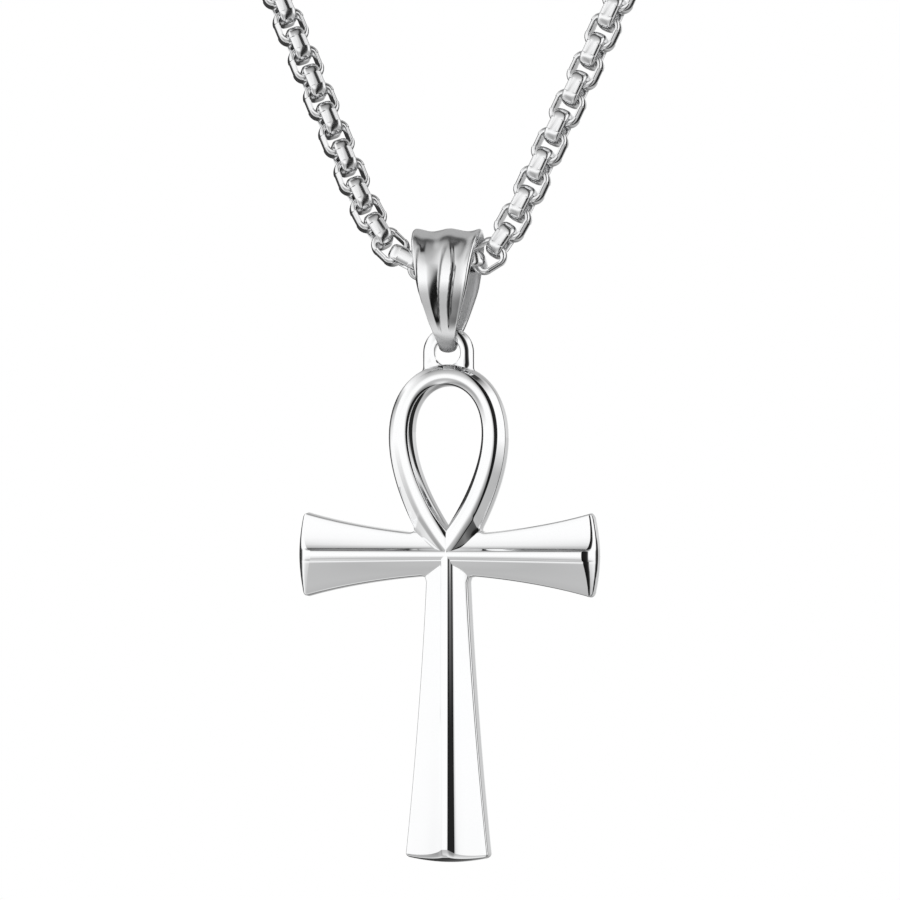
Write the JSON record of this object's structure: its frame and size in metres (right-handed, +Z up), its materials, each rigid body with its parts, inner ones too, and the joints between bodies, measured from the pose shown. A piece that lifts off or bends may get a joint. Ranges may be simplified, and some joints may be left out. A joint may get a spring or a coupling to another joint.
{
  "type": "ankh pendant",
  "caption": "Polished ankh pendant with a teardrop loop and ribbed, flaring limbs, hung by an eye from a fluted bail on a round box chain that closes with a clasp.",
  "frame": {"origin": "middle of the neck opening, at the height of the nape", "axes": "-Y is the front that the ankh faces, +X is to the viewer's right, +Z is up along the neck"},
  "size_m": [0.132, 0.122, 0.2177],
  "materials": {
    "pendant_steel": "mirror polished",
    "chain_steel": "polished",
    "clasp_steel": "polished"
  },
  "bodies": {
    "necklace": {"chain": "chain_steel", "clasp": "clasp_steel"},
    "bail": {"bail": "pendant_steel"},
    "ankh": {"ankh": "pendant_steel"}
  },
  "joints": [
    {"name": "bail_swing", "type": "hinge", "parent": "necklace", "child": "bail", "pos_m": [0, -0.062, -0.1596], "axis": [1, 0, 0], "range_deg": [-90, 90]},
    {"name": "ankh_swing", "type": "hinge", "parent": "bail", "child": "ankh", "pos_m": [0, -0.062, -0.16793], "axis": [0, 1, 0], "range_deg": [-90, 90]}
  ]
}
